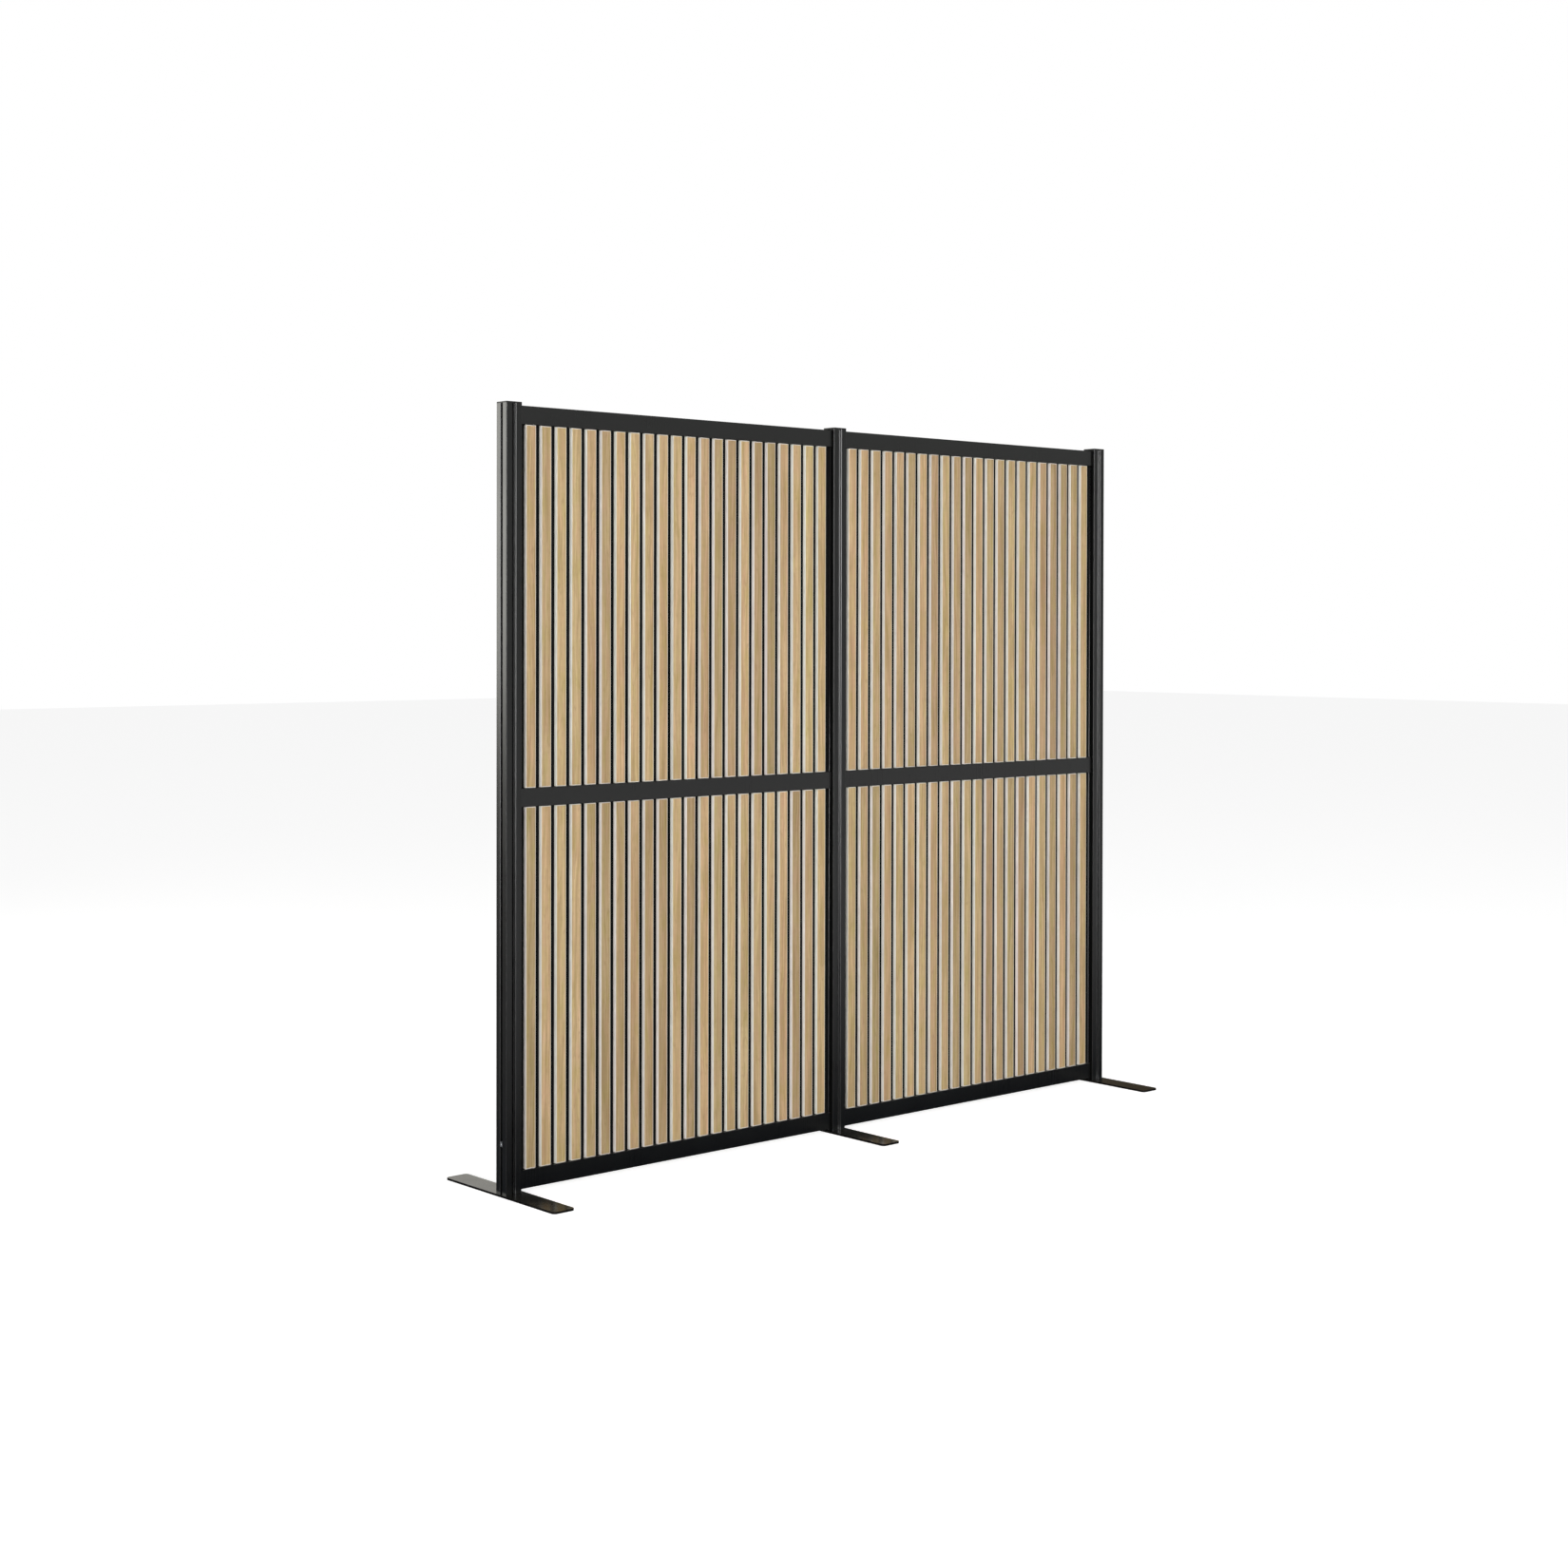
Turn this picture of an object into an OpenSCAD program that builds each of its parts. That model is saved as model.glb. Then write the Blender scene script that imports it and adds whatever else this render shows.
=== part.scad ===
// Free-standing office partition: two bays side by side between three slotted square posts.
// Each bay has three rails that carry two infill panels of upright oak slats on a black felt board.
// X runs along the partition, the slatted front faces -Y and Z is up. The origin lies on the
// floor under the middle of the partition. All sizes are in millimetres.

/* [Bays] */
// Clear width between two neighbouring posts
bay_clear_w = 900; // [500:10:1200]
// Clear height of each infill panel between two rails
infill_clear_h = 800; // [400:10:1000]

/* [Posts] */
// Side of the square post profile
post_w = 40; // [38:1:60]
// Height of the bare post above the rails' top edge
post_above_rail = 4; // [3:1:30]
// Rounding of the post's four long edges
post_corner_r = 1.5; // [0.5:0.5:3]
// Opening of the long slot in each post face
slot_w = 8.2; // [8.1:0.1:10]
// Bevel along both lips of the slot
slot_bevel = 1; // [0.4:0.1:1.5]
// Thickness of the lips beside the slot
slot_lip_t = 4.5; // [3:0.5:5]
// Depth of the slot from the face to its floor
slot_depth = 12.2; // [11.5:0.1:13]
// Width of the wide chamber behind the lips
chamber_w = 20; // [19:0.5:21]
// Width of the chamber at its floor
chamber_floor_w = 10; // [9:0.5:12]
// Thickness of the plastic cap on top of a post
cap_t = 3; // [2:0.5:6]
// Length of the peg under the cap
cap_peg_h = 14; // [8:1:30]

/* [Rails] */
// Height of every rail
rail_h = 40; // [36:1:60]
// Depth of every rail, front to back
rail_d = 26; // [25:0.5:36]
// Wall of the hollow rail
rail_wall = 2.5; // [2:0.1:3]
// Depth of the groove that the felt board stands in
groove_depth = 6; // [4:0.5:7]
// Gap between the lowest rail and the feet
rail_lift = 5; // [2:1:60]
// Side of the square core that takes the end bolts
rail_core_w = 13; // [12:0.5:15]

/* [Infill] */
// Width of a slat
slat_w = 26; // [15:0.5:40]
// Thickness of a slat
slat_t = 10; // [6:0.5:12]
// Width of the gap between two slats
slat_gap = 14; // [4:0.5:30]
// Least gap between a post and the first slat
slat_margin_min = 10; // [4:1:16]
// Rounding along the slats' front edges
slat_edge_r = 0.8; // [0.3:0.1:2]
// Gap between a slat's end and the rail
slat_end_gap = 1; // [0.5:0.1:3]
// Thickness of the felt board behind the slats
felt_t = 9; // [5:0.5:9]

/* [Feet] */
// Width of a foot plate
foot_w = 55; // [44:1:80]
// Length of a foot plate, front to back
foot_l = 430; // [200:10:600]
// Thickness of a foot plate
foot_t = 5; // [5:0.5:10]
// Rounding of the foot plate's corners
foot_corner_r = 9; // [4:1:16]

/* [Fasteners] */
// Thread of the screws in the rail ends and post ends
screw_d = 8; // [6:0.5:8]
// Head width of the rail bolts
bolt_head_d = 14; // [12:0.5:14]
// Head height of the rail bolts
bolt_head_h = 4; // [3:0.5:4.5]
// Length of the rail bolts inside the rail
bolt_grip = 22; // [12:1:30]
// Head width of the countersunk foot screws
foot_screw_head_d = 15; // [13:0.5:16]
// Depth at which the foot screws' heads lie above the floor
foot_screw_sink = 0.3; // [0.1:0.1:0.6]
// Length of the foot screws inside the post
foot_screw_grip = 25; // [15:1:40]
// Height of the slot nuts above the post's lower end
slot_nut_z = 108; // [60:1:400]
// Length of a slot nut along the slot
slot_nut_l = 11; // [10:1:24]
// Width of a slot nut's wings behind the lips
slot_nut_wing_w = 15; // [12:0.5:16]
// Thickness of a slot nut's wings
slot_nut_wing_t = 4; // [3:0.5:4.5]
// Depth of the slot nut's face under the post's face
slot_nut_sink = 0.5; // [0.5:0.1:2]
// Thread of the locking screw in a slot nut
lock_screw_d = 6; // [4:0.5:6]
// Length of the locking screw
lock_screw_l = 9; // [6:0.5:10]
// Width across the flats of the locking screw's socket
lock_socket_w = 3; // [2:0.5:3]
// Depth of the locking screw's socket
lock_socket_h = 3; // [2:0.5:4]

/* [Fits] */
// Clearance between the felt board and its groove, each side
felt_fit = 0.3; // [0.2:0.1:0.5]
// Clearance between the felt board's upper end and its groove
felt_top_fit = 0.8; // [0.4:0.1:0.9]
// Clearance between the felt board and the posts
felt_side_fit = 0.2; // [0.1:0.1:0.9]
// Clearance of a screw or peg in its hole, each side
screw_fit = 0.05; // [0.02:0.01:0.1]
// Clearance between a slot nut and the slot's lips, each side
nut_fit = 0.2; // [0.1:0.1:0.4]

/* [Hidden] */
$fn = 48;
// Overlap that lets a cut run clear of a face
cut = 1;

// Places along the partition
post_pitch = bay_clear_w + post_w;
left_x = -post_pitch;
middle_x = 0;
right_x = post_pitch;
left_bay_x = -post_pitch / 2;
right_bay_x = post_pitch / 2;

// Heights above the floor
post_z = foot_t;
bottom_rail_z = post_z + rail_lift;
lower_infill_z = bottom_rail_z + rail_h;
middle_rail_z = lower_infill_z + infill_clear_h;
upper_infill_z = middle_rail_z + rail_h;
top_rail_z = upper_infill_z + infill_clear_h;
post_top_z = top_rail_z + rail_h + post_above_rail;
post_h = post_top_z - post_z;

// Infill, which is centred in the depth of posts and rails
slat_front_y = -(slat_t + felt_t) / 2;
felt_front_y = slat_front_y + slat_t;
felt_h = infill_clear_h + 2 * groove_depth - felt_top_fit;
groove_y = felt_front_y - felt_fit;
groove_w = felt_t + 2 * felt_fit;
slat_pitch = slat_w + slat_gap;
slat_count = floor((bay_clear_w - 2 * slat_margin_min + slat_gap) / slat_pitch);

// Holes for the screws
screw_hole_d = screw_d + 2 * screw_fit;
// Depth at which the slot's chamber starts to narrow at 45 degrees
chamber_taper_at = slot_depth - (chamber_w - chamber_floor_w) / 2;

// Square of side w with rounded corners, centred
module rounded_square(w, l, r) {
    square([w - 2 * r, l], center = true);
    square([w, l - 2 * r], center = true);
    for (sx = [-1, 1], sy = [-1, 1])
        translate([sx * (w / 2 - r), sy * (l / 2 - r)])
            circle(r);
}

// Outline of one slot, cut into the face at +X of a profile
module slot_outline() {
    face = post_w / 2;
    half = slot_w / 2;
    polygon([
        [face + cut, half + slot_bevel],
        [face, half + slot_bevel],
        [face - slot_bevel, half],
        [face - slot_lip_t, half],
        [face - slot_lip_t, chamber_w / 2],
        [face - chamber_taper_at, chamber_w / 2],
        [face - slot_depth, chamber_floor_w / 2],
        [face - slot_depth, -chamber_floor_w / 2],
        [face - chamber_taper_at, -chamber_w / 2],
        [face - slot_lip_t, -chamber_w / 2],
        [face - slot_lip_t, -half],
        [face - slot_bevel, -half],
        [face, -half - slot_bevel],
        [face + cut, -half - slot_bevel]
    ]);
}

// Square post with a slot in each face and a round hole through its core
module post(x) {
    color("#2b2c2d")
    translate([x, 0, post_z])
        linear_extrude(post_h)
            difference() {
                rounded_square(post_w, post_w, post_corner_r);
                for (side = [0 : 3])
                    rotate(side * 90)
                        slot_outline();
                circle(d = screw_hole_d);
            }
}

// Flat cap with a peg that plugs into the post's core
module post_cap(x) {
    color("#202122")
    translate([x, 0, post_top_z]) {
        linear_extrude(cap_t)
            rounded_square(post_w, post_w, post_corner_r);
        translate([0, 0, -cap_peg_h])
            cylinder(h = cap_peg_h + cap_t / 2, d = screw_d);
    }
}

// Flat steel foot across the post, with a countersunk hole from below
module foot(x) {
    head_cone_h = (foot_screw_head_d - screw_d) / 2;
    color("#1d1c1a")
    translate([x, 0, 0])
        difference() {
            linear_extrude(foot_t)
                rounded_square(foot_w, foot_l, foot_corner_r);
            translate([0, 0, -cut])
                cylinder(h = foot_t + 2 * cut, d = screw_hole_d);
            translate([0, 0, -cut])
                cylinder(h = cut + foot_screw_sink, d = foot_screw_head_d + 2 * screw_fit);
            translate([0, 0, foot_screw_sink])
                cylinder(h = head_cone_h, d1 = foot_screw_head_d + 2 * screw_fit, d2 = screw_hole_d);
        }
}

// Countersunk screws that hold the feet to the posts
module foot_screws() {
    head_cone_h = (foot_screw_head_d - screw_d) / 2;
    color("#8d9092")
    for (x = [left_x, middle_x, right_x])
        translate([x, 0, foot_screw_sink]) {
            cylinder(h = head_cone_h, d1 = foot_screw_head_d, d2 = screw_d);
            cylinder(h = foot_t - foot_screw_sink + foot_screw_grip, d = screw_d);
        }
}

// Height of a rail's bolt core above the rail's lower edge
function core_z(groove_above, groove_below) =
    (rail_h + (groove_below ? groove_depth : 0) - (groove_above ? groove_depth : 0)) / 2;

// Cross-section of a rail, with Y to the right and Z up, its lower edge at zero.
// The hollow reaches its full height in front of the grooves.
module rail_section(groove_above, groove_below) {
    hollow_y = -rail_d / 2 + rail_wall;
    hollow_low = rail_wall + (groove_below ? groove_depth : 0);
    hollow_high = rail_h - rail_wall - (groove_above ? groove_depth : 0);
    mid = core_z(groove_above, groove_below);
    difference() {
        union() {
            difference() {
                translate([-rail_d / 2, 0])
                    square([rail_d, rail_h]);
                translate([hollow_y, hollow_low])
                    square([rail_d - 2 * rail_wall, hollow_high - hollow_low]);
                translate([hollow_y, rail_wall])
                    square([groove_y - rail_wall - hollow_y, rail_h - 2 * rail_wall]);
                if (groove_above)
                    translate([groove_y, rail_h - groove_depth])
                        square([groove_w, groove_depth + cut]);
                if (groove_below)
                    translate([groove_y, -cut])
                        square([groove_w, groove_depth + cut]);
            }
            translate([0, mid])
                square([rail_core_w, rail_core_w], center = true);
            translate([0, mid])
                square([rail_d - rail_wall, rail_wall], center = true);
        }
        translate([0, mid])
            circle(d = screw_hole_d);
    }
}

// Rail across one bay
module rail(bay_x, z, groove_above, groove_below) {
    color("#303132")
    translate([bay_x - bay_clear_w / 2, 0, z])
        rotate([90, 0, 90])
            linear_extrude(bay_clear_w)
                rail_section(groove_above, groove_below);
}

// Felt board that stands in the rails' grooves
module felt(bay_x, z) {
    board_w = bay_clear_w - 2 * felt_side_fit;
    color("#171717")
    translate([bay_x - board_w / 2, felt_front_y, z - groove_depth])
        cube([board_w, felt_t, felt_h]);
}

// One slat's cross-section, its front edges rounded and its back on the felt
module slat_section() {
    translate([-slat_w / 2, slat_front_y + slat_edge_r])
        square([slat_w, slat_t - slat_edge_r]);
    translate([-slat_w / 2 + slat_edge_r, slat_front_y])
        square([slat_w - 2 * slat_edge_r, slat_edge_r * 2]);
    for (side = [-1, 1])
        translate([side * (slat_w / 2 - slat_edge_r), slat_front_y + slat_edge_r])
            circle(slat_edge_r);
}

// Row of separate slats glued to one felt board, each a little shorter than the opening
module slats(bay_x, z) {
    color("#b08f66")
    for (i = [0 : slat_count - 1])
        translate([bay_x + (i - (slat_count - 1) / 2) * slat_pitch, 0, z + slat_end_gap])
            linear_extrude(infill_clear_h - 2 * slat_end_gap)
                slat_section();
}

// Bolt whose head sits behind the lips of a post's slot and whose shank goes into the rail's core.
// It is drawn at the origin, along +X, with the post's face at x = 0.
module rail_bolt() {
    rotate([0, 90, 0])
        translate([0, 0, -slot_lip_t]) {
            cylinder(h = slot_lip_t + bolt_grip, d = screw_d);
            translate([0, 0, -bolt_head_h])
                cylinder(h = bolt_head_h, d = bolt_head_d);
        }
}

// One bolt at each end of each rail
module rail_bolts() {
    color("#6f7274")
    for (bay_x = [left_bay_x, right_bay_x], side = [-1, 1])
        for (level = [
                bottom_rail_z + core_z(true, false),
                middle_rail_z + core_z(true, true),
                top_rail_z + core_z(false, true)
            ])
            translate([bay_x + side * bay_clear_w / 2, 0, level])
                scale([-side, 1, 1])
                    rail_bolt();
}

// Nut in the slot of a post's +X face at the origin, with its wings against the lips
module slot_nut() {
    face = post_w / 2;
    nose_w = slot_w - 2 * nut_fit;
    difference() {
        union() {
            translate([face - slot_lip_t, -nose_w / 2, -slot_nut_l / 2])
                cube([slot_lip_t - slot_nut_sink, nose_w, slot_nut_l]);
            translate([face - slot_lip_t - slot_nut_wing_t, -slot_nut_wing_w / 2, -slot_nut_l / 2])
                cube([slot_nut_wing_t, slot_nut_wing_w, slot_nut_l]);
        }
        translate([face - slot_depth, 0, 0])
            rotate([0, 90, 0])
                cylinder(h = slot_depth + cut, d = lock_screw_d + 2 * screw_fit);
    }
}

// Locking screw that presses on the floor of the slot in a post's +X face
module lock_screw() {
    translate([post_w / 2 - slot_depth, 0, 0])
        rotate([0, 90, 0])
            difference() {
                cylinder(h = lock_screw_l, d = lock_screw_d);
                translate([0, 0, lock_screw_l - lock_socket_h])
                    cylinder(h = lock_socket_h + cut, d = lock_socket_w / cos(30), $fn = 6);
            }
}

// The outer slots of the two end posts hold one slot nut each
module slot_nuts() {
    color("#b9bcbe")
    for (end = [-1, 1])
        translate([end * post_pitch, 0, post_z + slot_nut_z])
            rotate([0, 0, end > 0 ? 0 : 180])
                slot_nut();
}

module lock_screws() {
    color("#9a9da0")
    for (end = [-1, 1])
        translate([end * post_pitch, 0, post_z + slot_nut_z])
            rotate([0, 0, end > 0 ? 0 : 180])
                lock_screw();
}

post(left_x);  // left_post
post(middle_x);  // middle_post
post(right_x);  // right_post
post_cap(left_x);  // left_post_cap
post_cap(middle_x);  // middle_post_cap
post_cap(right_x);  // right_post_cap
foot(left_x);  // left_foot
foot(middle_x);  // middle_foot
foot(right_x);  // right_foot
foot_screws();
rail(left_bay_x, top_rail_z, false, true);  // left_top_rail
rail(left_bay_x, middle_rail_z, true, true);  // left_middle_rail
rail(left_bay_x, bottom_rail_z, true, false);  // left_bottom_rail
rail(right_bay_x, top_rail_z, false, true);  // right_top_rail
rail(right_bay_x, middle_rail_z, true, true);  // right_middle_rail
rail(right_bay_x, bottom_rail_z, true, false);  // right_bottom_rail
felt(left_bay_x, upper_infill_z);  // left_upper_felt
felt(left_bay_x, lower_infill_z);  // left_lower_felt
felt(right_bay_x, upper_infill_z);  // right_upper_felt
felt(right_bay_x, lower_infill_z);  // right_lower_felt
slats(left_bay_x, upper_infill_z);  // left_upper_slats
slats(left_bay_x, lower_infill_z);  // left_lower_slats
slats(right_bay_x, upper_infill_z);  // right_upper_slats
slats(right_bay_x, lower_infill_z);  // right_lower_slats
rail_bolts();
slot_nuts();
lock_screws();
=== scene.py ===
"""Office partition panel: finishes, floor, light and the photograph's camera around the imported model."""

import math

import bpy
from mathutils import Matrix, Vector

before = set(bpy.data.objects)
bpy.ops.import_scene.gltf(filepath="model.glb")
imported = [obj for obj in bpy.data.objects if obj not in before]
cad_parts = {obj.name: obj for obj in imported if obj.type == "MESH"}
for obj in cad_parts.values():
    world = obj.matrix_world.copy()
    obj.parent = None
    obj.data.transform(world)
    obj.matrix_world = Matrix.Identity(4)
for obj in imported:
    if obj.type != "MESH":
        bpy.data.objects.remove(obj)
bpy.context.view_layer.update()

# Image size that the photograph's pixel values refer to
IMAGE_PX = 1650.0

# Camera fitted to the photograph: place in metres, angles in degrees, focal length and optical centre
# in pixels
CAMERA_PLACE = Vector((-3.7361, -4.3230, 1.2466))
CAMERA_YAW = 43.834
CAMERA_PITCH = -0.5305
CAMERA_ROLL = 0.1426
FOCAL_PX = 2430.3
CENTRE_X_PX = 1005.5
CENTRE_Y_PX = 682.64
SENSOR_MM = 36.0

SLAT_NODES = ("left_upper_slats", "left_lower_slats", "right_upper_slats", "right_lower_slats")
FELT_NODES = ("left_upper_felt", "left_lower_felt", "right_upper_felt", "right_lower_felt")
POST_NODES = ("left_post", "middle_post", "right_post")
RAIL_NODES = (
    "left_top_rail", "left_middle_rail", "left_bottom_rail",
    "right_top_rail", "right_middle_rail", "right_bottom_rail",
)
CAP_NODES = ("left_post_cap", "middle_post_cap", "right_post_cap")
FOOT_NODES = ("left_foot", "middle_foot", "right_foot")
SCREW_NODES = ("foot_screws", "rail_bolts", "slot_nuts", "lock_screws")

# All lengths from here on are in metres.
# The slats' pitch and width along X, and half a slat's length along Z
SLAT_PITCH = 0.040
SLAT_WIDTH = 0.026
HALF_SLAT_LENGTH = 0.399
# Shift that puts each slat in the middle of its own pitch, counted outwards from the middle post
SLAT_ROW_START = 0.010
# The pale worn rim along a slat's front edges: its width, and the share of it that fades out
RIM_WIDTH = 0.0022
RIM_FADE = 0.4
# Height between the lower and the upper panels
MIDDLE_RAIL_Z = 0.87
# The lower panels' foot and middle, and the height at which the upper panels repeat them
LEVEL_FOOT = 0.05
LEVEL_MIDDLE = 0.45
LEVEL_TOP = 0.89
# Where painted shade darkens the foot of the slats' side walls along Y, and over what length
SHADED_WALL_FOOT_Y = -0.0012
SHADED_WALL_FOOT_BLUR = 0.0006

# The posts' faces beside the infill: least and greatest distance from the middle along X,
# and greatest distance from it along Y
INNER_FACE_X = (0.0095, 0.9305)
INNER_FACE_Y = 0.0185

# How far apart the slats' places in their boards of oak can lie, along X and Z
BOARD_SPREAD_X = 37.0
BOARD_SPREAD_Z = 53.0
# Fine draw lines on the aluminium, in cycles per metre
DRAW_LINES = 1400.0

# The floor's side, and the stretch of it over which its mirror image changes tone, which starts
# behind the partition and runs to the front
FLOOR_SIZE = 60.0
FLOOR_TONE_START_Y = 5.0
FLOOR_TONE_LENGTH = 15.0
# How much light the floor adds of its own to show white to the camera
FLOOR_LIFT = 0.70

# Strength of the even light from all sides
WORLD_LEVEL = 0.27

WHITE = (1.0, 1.0, 1.0)
PART_MIDDLE = (0.0, 0.0, 0.9)
# Each lamp: name, place, target, size, power in watts, colour and cone in degrees.
# far_fill evens out the far end, which the lamps on the left reach less; the posts' side faces mirror
# back_left_panel.
LAMPS = (
    ("key", (-8.3, -7.2, 1.65), PART_MIDDLE, (2.95, 3.5), 568.0, WHITE, 180.0),
    ("side_soft", (-7.6, -4.0, 1.5), PART_MIDDLE, (2.6, 2.6), 128.0, WHITE, 180.0),
    ("high_soft", (-0.6, -6.0, 4.4), PART_MIDDLE, (4.0, 3.0), 98.0, WHITE, 180.0),
    ("far_fill", (-3.6, -6.6, 2.4), (1.3, 0.0, 0.9), (1.4, 1.4), 10.0, WHITE, 40.0),
    ("back_left_panel", (-3.65, 4.2, 1.95), (-0.95, 0.0, 1.2), (2.6, 2.1), 68.0, (1.0, 1.0, 0.94), 180.0),
)
# Lamps that don't reach the rails
LAMPS_OFF_RAILS = ("key", "side_soft")


# Camera


def add_camera():
    """The photograph's view, shifted because its optical centre isn't the picture's middle."""
    yaw, pitch, roll = (math.radians(a) for a in (CAMERA_YAW, CAMERA_PITCH, CAMERA_ROLL))
    forward = Vector((math.sin(yaw) * math.cos(pitch), math.cos(yaw) * math.cos(pitch), math.sin(pitch)))
    level_right = Vector((math.cos(yaw), -math.sin(yaw), 0.0))
    level_up = level_right.cross(forward)
    right = math.cos(roll) * level_right + math.sin(roll) * level_up
    up = math.cos(roll) * level_up - math.sin(roll) * level_right

    data = bpy.data.cameras.new("photo_camera")
    data.sensor_fit = "HORIZONTAL"
    data.sensor_width = SENSOR_MM
    data.lens = FOCAL_PX / IMAGE_PX * SENSOR_MM
    data.shift_x = (IMAGE_PX / 2 - CENTRE_X_PX) / IMAGE_PX
    data.shift_y = (CENTRE_Y_PX - IMAGE_PX / 2) / IMAGE_PX
    data.clip_end = 200.0
    camera = bpy.data.objects.new("photo_camera", data)
    axes = Matrix((right, up, -forward)).transposed()
    camera.matrix_world = Matrix.Translation(CAMERA_PLACE) @ axes.to_4x4()
    bpy.context.scene.collection.objects.link(camera)
    bpy.context.scene.camera = camera


# Node helpers


class Nodes:
    """Short calls that build the node tree of a material or of the world."""

    def __init__(self, tree):
        self.tree = tree

    def new(self, kind, **settings):
        node = self.tree.nodes.new(kind)
        for name, value in settings.items():
            setattr(node, name, value)
        return node

    def link(self, source, target):
        self.tree.links.new(source, target)

    def feed(self, target, value):
        """Links a socket to target, or sets target to a number or to an (r, g, b)."""
        if isinstance(value, bpy.types.NodeSocket):
            self.link(value, target)
        elif isinstance(value, tuple):
            target.default_value = (*value, 1.0)
        else:
            target.default_value = value

    def math(self, operation, a, b=None, c=None, clamp=False):
        node = self.new("ShaderNodeMath", operation=operation, use_clamp=clamp)
        for socket, value in zip(node.inputs, (a, b, c)):
            if value is not None:
                self.feed(socket, value)
        return node.outputs[0]

    def mix(self, factor, a, b, blend="MIX"):
        """Mix of two colours, each a socket or a plain (r, g, b)."""
        node = self.new("ShaderNodeMix", data_type="RGBA", blend_type=blend)
        self.feed(node.inputs["Factor"], factor)
        # The node's two colours and its mixed colour have these numbers among its sockets
        self.feed(node.inputs[6], a)
        self.feed(node.inputs[7], b)
        return node.outputs[2]

    def split(self, vector):
        """The vector's x, y and z."""
        node = self.new("ShaderNodeSeparateXYZ")
        self.link(vector, node.inputs[0])
        return tuple(node.outputs)

    def object_place(self):
        """Place on the part, in metres."""
        return self.new("ShaderNodeTexCoord").outputs["Object"]

    def combine(self, x, y, z):
        node = self.new("ShaderNodeCombineXYZ")
        for socket, value in zip(node.inputs, (x, y, z)):
            self.feed(socket, value)
        return node.outputs[0]

    def noise(self, vector, scale, detail=2.0, roughness=0.5, distortion=0.0):
        node = self.new("ShaderNodeTexNoise")
        self.link(vector, node.inputs["Vector"])
        node.inputs["Scale"].default_value = scale
        node.inputs["Detail"].default_value = detail
        node.inputs["Roughness"].default_value = roughness
        node.inputs["Distortion"].default_value = distortion
        return node.outputs["Fac"]

    def stretched_noise(self, x, y, z, across, along, detail, roughness=0.5):
        """Noise drawn out along Z: across and along are its cycles per metre."""
        place = self.combine(self.math("MULTIPLY", x, across), y, self.math("MULTIPLY", z, along))
        return self.noise(place, scale=1.0, detail=detail, roughness=roughness)

    def ramp(self, value, stops):
        """Colour ramp; stops are (position, grey) or (position, (r, g, b))."""
        node = self.new("ShaderNodeValToRGB")
        elements = node.color_ramp.elements
        while len(elements) < len(stops):
            elements.new(0.5)
        for element, (position, colour) in zip(elements, stops):
            if not isinstance(colour, tuple):
                colour = (colour, colour, colour)
            element.position = position
            element.color = (*colour, 1.0)
        self.link(value, node.inputs[0])
        return node.outputs[0]

    def bump(self, height, strength, distance):
        node = self.new("ShaderNodeBump")
        node.inputs["Strength"].default_value = strength
        node.inputs["Distance"].default_value = distance
        self.link(height, node.inputs["Height"])
        return node.outputs[0]

    def multiply(self, a, b):
        """Product of two colours."""
        return self.mix(1.0, a, b, "MULTIPLY")

    def between(self, value, low, high):
        """low where value is 0, high where it is 1."""
        return self.math("MULTIPLY_ADD", value, high - low, low)

    def step_up(self, value, start, length):
        """0 up to start, then rising to 1 over length."""
        return self.math("MULTIPLY_ADD", self.math("SUBTRACT", value, start), 1.0 / length, 0.0, clamp=True)

    def glow(self, kind, colour, strength=1.0):
        """Emission or Background; colour is a socket or a plain (r, g, b)."""
        node = self.new(kind)
        self.feed(node.inputs["Color"], colour)
        self.feed(node.inputs["Strength"], strength)
        return node.outputs[0]

    def choose(self, factor, at_zero, at_one):
        """Mix of two shaders."""
        node = self.new("ShaderNodeMixShader")
        for socket, source in zip(node.inputs, (factor, at_zero, at_one)):
            self.link(source, socket)
        return node.outputs[0]


def empty_tree(owner):
    """Node helper for a material or world whose own nodes are cleared away."""
    owner.use_nodes = True
    owner.node_tree.nodes.clear()
    return Nodes(owner.node_tree)


def new_material(name):
    """A new material, the node helper for it and its Principled shader."""
    material = bpy.data.materials.new(name)
    n = empty_tree(material)
    shader = n.new("ShaderNodeBsdfPrincipled")
    output = n.new("ShaderNodeOutputMaterial")
    n.link(shader.outputs[0], output.inputs["Surface"])
    return material, n, shader


# Materials


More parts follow.
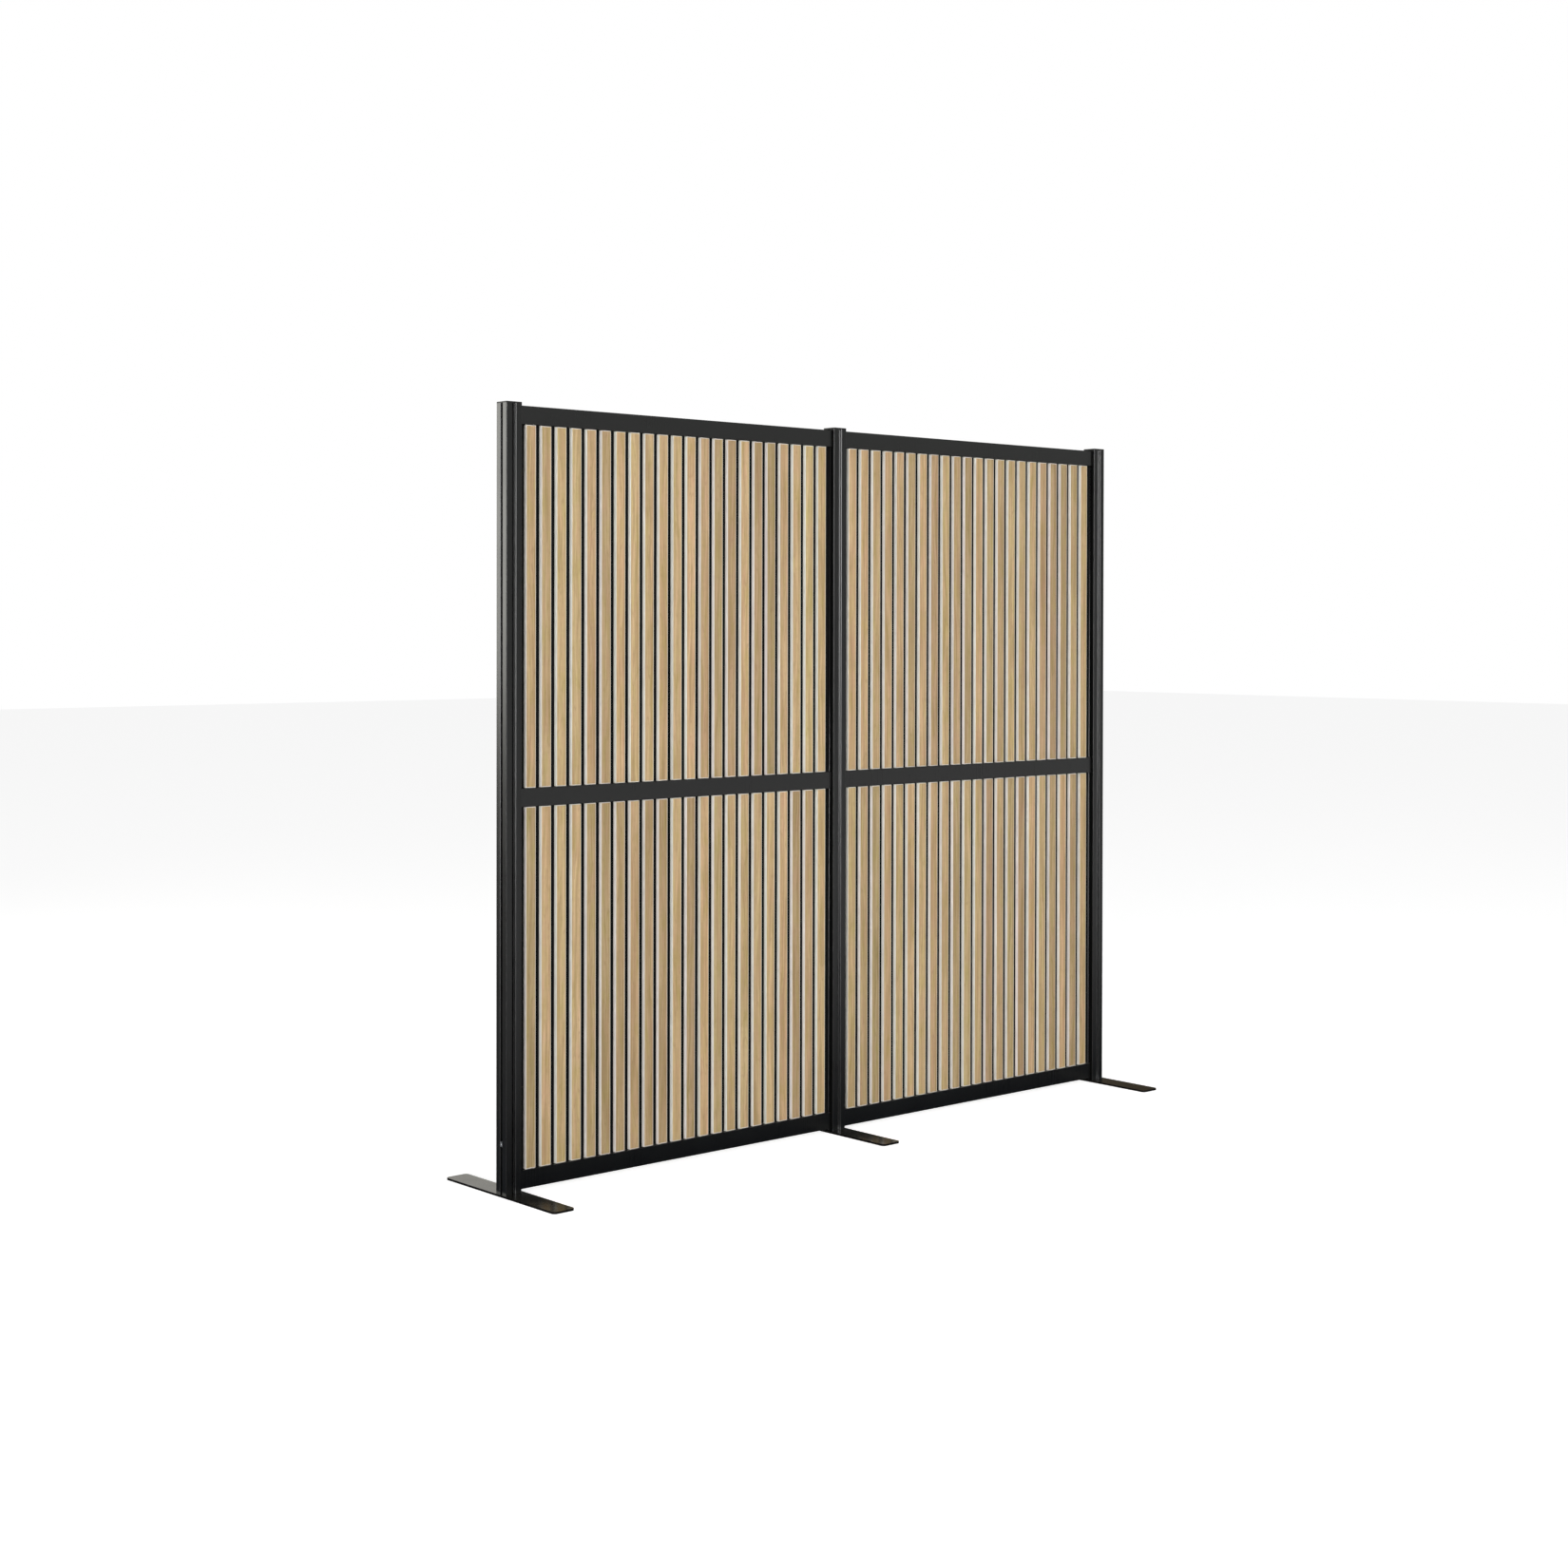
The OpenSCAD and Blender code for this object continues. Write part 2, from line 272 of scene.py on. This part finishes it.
def oak_material():
    """Matt oak veneer with upright grain that differs from slat to slat, and pale side edges."""
    material, n, shader = new_material("oak")
    x, y, z = n.split(n.object_place())

    # Each slat's own random numbers, from its place in the row, its level and its bay
    row_place = n.math("DIVIDE", n.math("ADD", n.math("ABSOLUTE", x), SLAT_ROW_START), SLAT_PITCH)
    index = n.math("FLOOR", row_place)
    level = n.math("GREATER_THAN", z, MIDDLE_RAIL_Z)
    bay = n.math("GREATER_THAN", x, 0.0)
    white_noise = n.new("ShaderNodeTexWhiteNoise", noise_dimensions="3D")
    n.link(n.combine(index, level, bay), white_noise.inputs["Vector"])
    luck = n.new("ShaderNodeSeparateColor")
    n.link(white_noise.outputs["Color"], luck.inputs[0])
    luck_a, luck_b, luck_c = luck.outputs

    # Place in the board that the slat was cut from
    board_x = n.math("ADD", x, n.math("MULTIPLY", luck_a, BOARD_SPREAD_X))
    board_z = n.math("ADD", z, n.math("MULTIPLY", luck_b, BOARD_SPREAD_Z))

    # Slow waver of the grain along the slat
    waver = n.stretched_noise(board_x, y, board_z, across=6.0, along=1.6, detail=3.0)
    grain_x = n.math("ADD", board_x, n.math("MULTIPLY", n.math("SUBTRACT", waver, 0.5), 0.05))

    # Growth rings as broad bands, finer fibres, short dark pores, broad figure and blotches
    grain = (grain_x, y, board_z)
    rings = n.stretched_noise(*grain, across=170.0, along=2.2, detail=4.0, roughness=0.6)
    fibres = n.stretched_noise(*grain, across=900.0, along=9.0, detail=3.0, roughness=0.6)
    pores = n.stretched_noise(*grain, across=2600.0, along=60.0, detail=1.0)
    figure = n.stretched_noise(*grain, across=45.0, along=3.5, detail=2.0)
    blotch = n.stretched_noise(*grain, across=75.0, along=13.0, detail=3.0, roughness=0.6)

    tone = n.math("ADD", n.math("MULTIPLY", rings, 0.58), n.math("MULTIPLY", fibres, 0.42))
    wood = n.ramp(tone, [
        (0.30, (0.225, 0.145, 0.066)),
        (0.43, (0.382, 0.266, 0.139)),
        (0.55, (0.478, 0.352, 0.203)),
        (0.72, (0.600, 0.464, 0.294)),
    ])
    # Arched lines where the rings come to the surface: contours of the slow figure
    arch = n.math("PINGPONG", n.math("MULTIPLY", figure, 9.0), 0.5)
    arch_line = n.ramp(arch, [(0.02, 1.0), (0.12, 0.0)])
    wood = n.mix(n.math("MULTIPLY", arch_line, 0.28), wood, (0.265, 0.170, 0.075))
    # Darker heartwood patches on some slats
    patch = n.ramp(figure, [(0.50, 0.0), (0.68, 1.0)])
    wood = n.mix(n.math("MULTIPLY", patch, 0.55), wood, (0.300, 0.205, 0.100))
    # Blotches that lean to yellow or to pink
    hue = n.ramp(blotch, [(0.34, (1.05, 0.985, 1.05)), (0.50, WHITE), (0.66, (0.93, 0.97, 0.79))])
    wood = n.multiply(wood, hue)
    # Pores
    pore = n.ramp(pores, [(0.28, 1.0), (0.40, 0.0)])
    wood = n.mix(n.math("MULTIPLY", pore, 0.5), wood, (0.18, 0.115, 0.055))
    # Slat to slat: lighter or darker, and towards pink or towards yellow
    shade = n.between(luck_c, 0.84, 1.18)
    wood = n.multiply(wood, n.combine(shade, shade, shade))
    warm = n.mix(luck_a, (1.04, 0.98, 0.96), (0.98, 1.02, 0.92))
    wood = n.multiply(wood, warm)

    # The side walls, the slat ends and the eased front edges are the pale core under the veneer
    facing_x, _, facing_z = n.split(n.new("ShaderNodeTexCoord").outputs["Normal"])
    sideways = n.math("ABSOLUTE", facing_x)
    endways = n.math("ABSOLUTE", facing_z)
    turned = n.ramp(n.math("MAXIMUM", sideways, endways), [(0.25, 0.0), (0.65, 1.0)])
    # Worn rim of the front: distance from the slat's middle line, in slat pitches
    off_middle = n.math("ABSOLUTE", n.math("SUBTRACT", n.math("FRACT", row_place), 0.5))
    half_slat = SLAT_WIDTH / SLAT_PITCH / 2
    rim_wide = RIM_WIDTH / SLAT_PITCH
    rim = n.ramp(off_middle, [(half_slat - rim_wide, 0.0), (half_slat - rim_wide * (1 - RIM_FADE), 1.0)])
    # The same rim along the slat's upper and lower ends
    level_z = n.math("WRAP", z, LEVEL_TOP, LEVEL_FOOT)
    off_centre = n.math("ABSOLUTE", n.math("SUBTRACT", level_z, LEVEL_MIDDLE))
    end_rim = n.step_up(off_centre, HALF_SLAT_LENGTH - RIM_WIDTH, RIM_WIDTH * RIM_FADE)
    rims = n.math("MAXIMUM", n.math("MULTIPLY", rim, 0.8), n.math("MULTIPLY", end_rim, 0.9))
    edge = n.math("MAXIMUM", turned, rims)
    core_grain = n.ramp(fibres, [(0.3, (0.64, 0.61, 0.56)), (0.7, (0.74, 0.715, 0.67))])
    core_shade = n.between(luck_b, 0.92, 1.04)
    core = n.multiply(core_grain, n.combine(core_shade, core_shade, core_shade))
    core = n.multiply(core, n.mix(luck_c, (1.02, 0.985, 0.99), (0.985, 1.01, 0.97)))
    colour = n.mix(edge, wood, core)
    # Painted shade darkens the foot of the side walls next to the felt
    wall_foot_shade = n.step_up(y, SHADED_WALL_FOOT_Y, SHADED_WALL_FOOT_BLUR)
    n.link(n.mix(wall_foot_shade, colour, (0.02, 0.018, 0.016)), shader.inputs["Base Color"])

    n.link(n.ramp(fibres, [(0.2, 0.62), (0.8, 0.48)]), shader.inputs["Roughness"])
    relief = n.math("SUBTRACT", n.math("MULTIPLY", fibres, 0.5), n.math("MULTIPLY", pore, 0.7))
    n.link(n.bump(relief, strength=0.35, distance=0.0004), shader.inputs["Normal"])
    shader.inputs["Specular IOR Level"].default_value = 0.35
    return material


def frame_material(name, gloss):
    """Satin black anodised aluminium with faint draw lines; gloss is its specular level."""
    material, n, shader = new_material(name)
    place = n.object_place()
    x, y, z = n.split(place)
    cloud = n.noise(place, scale=9.0, detail=4.0)
    # The lines run along Z, as they do on the posts
    across_x = n.math("MULTIPLY", x, DRAW_LINES)
    across_y = n.math("MULTIPLY", y, DRAW_LINES)
    streaks = n.noise(n.combine(across_x, across_y, z), scale=1.0, detail=2.0)
    grit = n.noise(place, scale=2600.0, detail=2.0)
    colour = n.ramp(cloud, [(0.3, (0.0030, 0.0031, 0.0031)), (0.7, (0.0044, 0.0046, 0.0046))])
    n.link(colour, shader.inputs["Base Color"])
    wear = n.math("ADD", n.math("MULTIPLY", cloud, 0.08), n.math("MULTIPLY", streaks, 0.06))
    n.link(n.math("ADD", wear, 0.22), shader.inputs["Roughness"])
    fine = n.math("ADD", n.math("MULTIPLY", streaks, 0.4), n.math("MULTIPLY", grit, 0.6))
    n.link(n.bump(fine, strength=0.10, distance=0.0001), shader.inputs["Normal"])
    shader.inputs["Specular IOR Level"].default_value = gloss
    return material


def cap_material():
    """Moulded matt black plastic."""
    material, n, shader = new_material("cap_plastic")
    place = n.object_place()
    grit = n.noise(place, scale=1800.0, detail=3.0)
    cloud = n.noise(place, scale=30.0, detail=3.0)
    n.link(n.ramp(cloud, [(0.3, 0.007), (0.7, 0.010)]), shader.inputs["Base Color"])
    n.link(n.ramp(grit, [(0.3, 0.42), (0.7, 0.55)]), shader.inputs["Roughness"])
    n.link(n.bump(grit, strength=0.25, distance=0.0002), shader.inputs["Normal"])
    shader.inputs["Specular IOR Level"].default_value = 0.35
    return material


def foot_material():
    """Black powder coat on flat steel: fine orange peel, dust dulling it a little."""
    material, n, shader = new_material("foot_steel")
    place = n.object_place()
    peel = n.noise(place, scale=700.0, detail=2.0)
    dust = n.noise(place, scale=22.0, detail=5.0, roughness=0.6)
    colour = n.ramp(dust, [(0.3, (0.0035, 0.0031, 0.0022)), (0.75, (0.0070, 0.0062, 0.0042))])
    n.link(colour, shader.inputs["Base Color"])
    n.link(n.ramp(dust, [(0.25, 0.17), (0.75, 0.25)]), shader.inputs["Roughness"])
    n.link(n.bump(peel, strength=0.18, distance=0.0002), shader.inputs["Normal"])
    shader.inputs["Specular IOR Level"].default_value = 0.40
    return material


def zinc_material():
    """Bright zinc on screws and nuts."""
    material, n, shader = new_material("zinc_steel")
    cloud = n.noise(n.object_place(), scale=240.0, detail=4.0)
    colour = n.ramp(cloud, [(0.3, (0.52, 0.53, 0.55)), (0.7, (0.70, 0.71, 0.72))])
    n.link(colour, shader.inputs["Base Color"])
    shader.inputs["Metallic"].default_value = 1.0
    n.link(n.ramp(cloud, [(0.3, 0.24), (0.7, 0.40)]), shader.inputs["Roughness"])
    n.link(n.bump(cloud, strength=0.15, distance=0.0002), shader.inputs["Normal"])
    return material


def felt_material():
    """Pressed black polyester felt with short tangled fibres."""
    material, n, shader = new_material("felt")
    place = n.object_place()
    fibres = n.noise(place, scale=1500.0, detail=4.0, roughness=0.7, distortion=1.5)
    clumps = n.noise(place, scale=160.0, detail=3.0)
    colour = n.ramp(fibres, [(0.35, (0.003, 0.003, 0.003)), (0.70, (0.010, 0.010, 0.010))])
    n.link(colour, shader.inputs["Base Color"])
    n.link(n.ramp(clumps, [(0.3, 0.86), (0.7, 0.97)]), shader.inputs["Roughness"])
    relief = n.math("ADD", fibres, clumps)
    n.link(n.bump(relief, strength=0.6, distance=0.0006), shader.inputs["Normal"])
    shader.inputs["Sheen Weight"].default_value = 0.02
    shader.inputs["Sheen Roughness"].default_value = 0.5
    shader.inputs["Specular IOR Level"].default_value = 0.1
    return material


def dress(names, material):
    """Gives the named nodes this material in all their slots."""
    for name in names:
        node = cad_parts[name]
        if not node.material_slots:
            node.data.materials.append(material)
        for slot in node.material_slots:
            slot.material = material


def shade_infill_faces(names, material):
    """Gives the posts' faces and slots beside the infill this copy of the black that barely reflects,
    painted shade that keeps them dark, as in the photograph.
    """
    least_x, greatest_x = INNER_FACE_X
    for name in names:
        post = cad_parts[name]
        post.data.materials.append(material)
        last_slot = len(post.data.materials) - 1
        for face in post.data.polygons:
            centre = post.matrix_world @ face.center
            if least_x < abs(centre.x) < greatest_x and abs(centre.y) < INNER_FACE_Y:
                face.material_index = last_slot


# Floor, backdrop and light


def add_floor():
    """White floor that shows white to the camera and keeps the object's soft shadow."""
    half = FLOOR_SIZE / 2
    corners = [(-half, -half, 0), (half, -half, 0), (half, half, 0), (-half, half, 0)]
    mesh = bpy.data.meshes.new("floor")
    mesh.from_pydata(corners, [], [(0, 1, 2, 3)])
    floor = bpy.data.objects.new("floor", mesh)
    bpy.context.scene.collection.objects.link(floor)

    material = bpy.data.materials.new("floor_white")
    n = empty_tree(material)
    path = n.new("ShaderNodeLightPath")
    diffuse = n.new("ShaderNodeBsdfDiffuse")
    n.feed(diffuse.inputs["Color"], (0.82, 0.82, 0.82))
    both = n.new("ShaderNodeAddShader")
    n.link(diffuse.outputs[0], both.inputs[0])
    lift = n.math("MULTIPLY", path.outputs["Is Camera Ray"], FLOOR_LIFT)
    n.link(n.glow("ShaderNodeEmission", WHITE, lift), both.inputs[1])
    # In reflections the floor glows with a painted reflection: painted shade beside the partition, and
    # light further out in front of it
    _, y, _ = n.split(n.object_place())
    ahead = n.math("MULTIPLY_ADD", y, -1 / FLOOR_TONE_LENGTH, FLOOR_TONE_START_Y / FLOOR_TONE_LENGTH)
    tone = n.ramp(ahead, [
        (0.0, 0.20), (0.20, 0.14), (0.325, (0.045, 0.055, 0.075)), (0.335, (0.020, 0.030, 0.045)),
        (0.40, 0.25), (0.493, 0.75), (0.70, 0.95), (0.933, 0.5),
    ])
    surface = n.choose(path.outputs["Is Glossy Ray"], both.outputs[0], n.glow("ShaderNodeEmission", tone))
    n.link(surface, n.new("ShaderNodeOutputMaterial").inputs["Surface"])
    mesh.materials.append(material)


def add_world():
    """White to the camera, level light for the object, and brighter and darker sides in reflections."""
    world = bpy.data.worlds.new("studio")
    bpy.context.scene.world = world
    n = empty_tree(world)
    path = n.new("ShaderNodeLightPath")
    x, y, z = n.split(n.new("ShaderNodeTexCoord").outputs["Generated"])
    # What the object mirrors: a grey front, a back bright on the left and dark on the right, and a
    # bright far right
    to_back = n.ramp(n.math("MULTIPLY_ADD", y, 0.5, 0.5), [(0.45, 0.0), (0.70, 1.0)])
    to_right = n.ramp(x, [(0.55, 0.0), (0.72, 1.0)])
    far_right = n.ramp(x, [(0.86, 0.0), (0.96, 1.0)])
    upward = n.ramp(z, [(0.03, 0.0), (0.09, 1.0)])
    back = n.mix(to_right, (0.95, 0.93, 0.86), (0.10, 0.075, 0.045))
    front = n.mix(upward, (0.385, 0.39, 0.38), (0.58, 0.59, 0.57))
    mirrored = n.mix(far_right, n.mix(to_back, front, back), (0.95, 0.95, 0.93))
    plain_light = n.glow("ShaderNodeBackground", WHITE, WORLD_LEVEL)
    mirrored_light = n.glow("ShaderNodeBackground", mirrored)
    light = n.choose(path.outputs["Is Glossy Ray"], plain_light, mirrored_light)
    surface = n.choose(path.outputs["Is Camera Ray"], light, n.glow("ShaderNodeBackground", WHITE))
    n.link(surface, n.new("ShaderNodeOutputWorld").inputs["Surface"])


def add_lamp(name, place, target, size, power, colour, cone):
    """Soft rectangular lamp at place, turned to target."""
    data = bpy.data.lights.new(name, "AREA")
    data.color = colour
    data.shape = "RECTANGLE"
    data.size, data.size_y = size
    data.energy = power
    data.spread = math.radians(cone)
    lamp = bpy.data.objects.new(name, data)
    lamp.location = place
    lamp.rotation_euler = (Vector(target) - Vector(place)).to_track_quat("-Z", "Y").to_euler()
    lamp.visible_camera = False
    bpy.context.scene.collection.objects.link(lamp)


def pass_by(lamp_names, node_names):
    """Keeps these lamps off the nodes, which would mirror them as white bars when seen from the right."""
    passed = bpy.data.collections.new("passed_by_lamps")
    for name in node_names:
        passed.objects.link(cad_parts[name])
    for member in passed.collection_objects:
        member.light_linking.link_state = "EXCLUDE"
    for name in lamp_names:
        bpy.data.objects[name].light_linking.receiver_collection = passed


add_camera()

dress(SLAT_NODES, oak_material())
dress(FELT_NODES, felt_material())
dress(POST_NODES, frame_material("post_black", gloss=0.5))
# Painted shade: the posts' faces beside the infill get a copy of the black with almost no reflection
shade_infill_faces(POST_NODES, frame_material("post_inner_shaded_black", gloss=0.03))
dress(RAIL_NODES, frame_material("rail_black", gloss=0.6))
dress(CAP_NODES, cap_material())
dress(FOOT_NODES, foot_material())
dress(SCREW_NODES, zinc_material())

add_floor()
add_world()
for lamp_settings in LAMPS:
    add_lamp(*lamp_settings)
pass_by(LAMPS_OFF_RAILS, RAIL_NODES)

bpy.context.scene.view_settings.view_transform = "Standard"
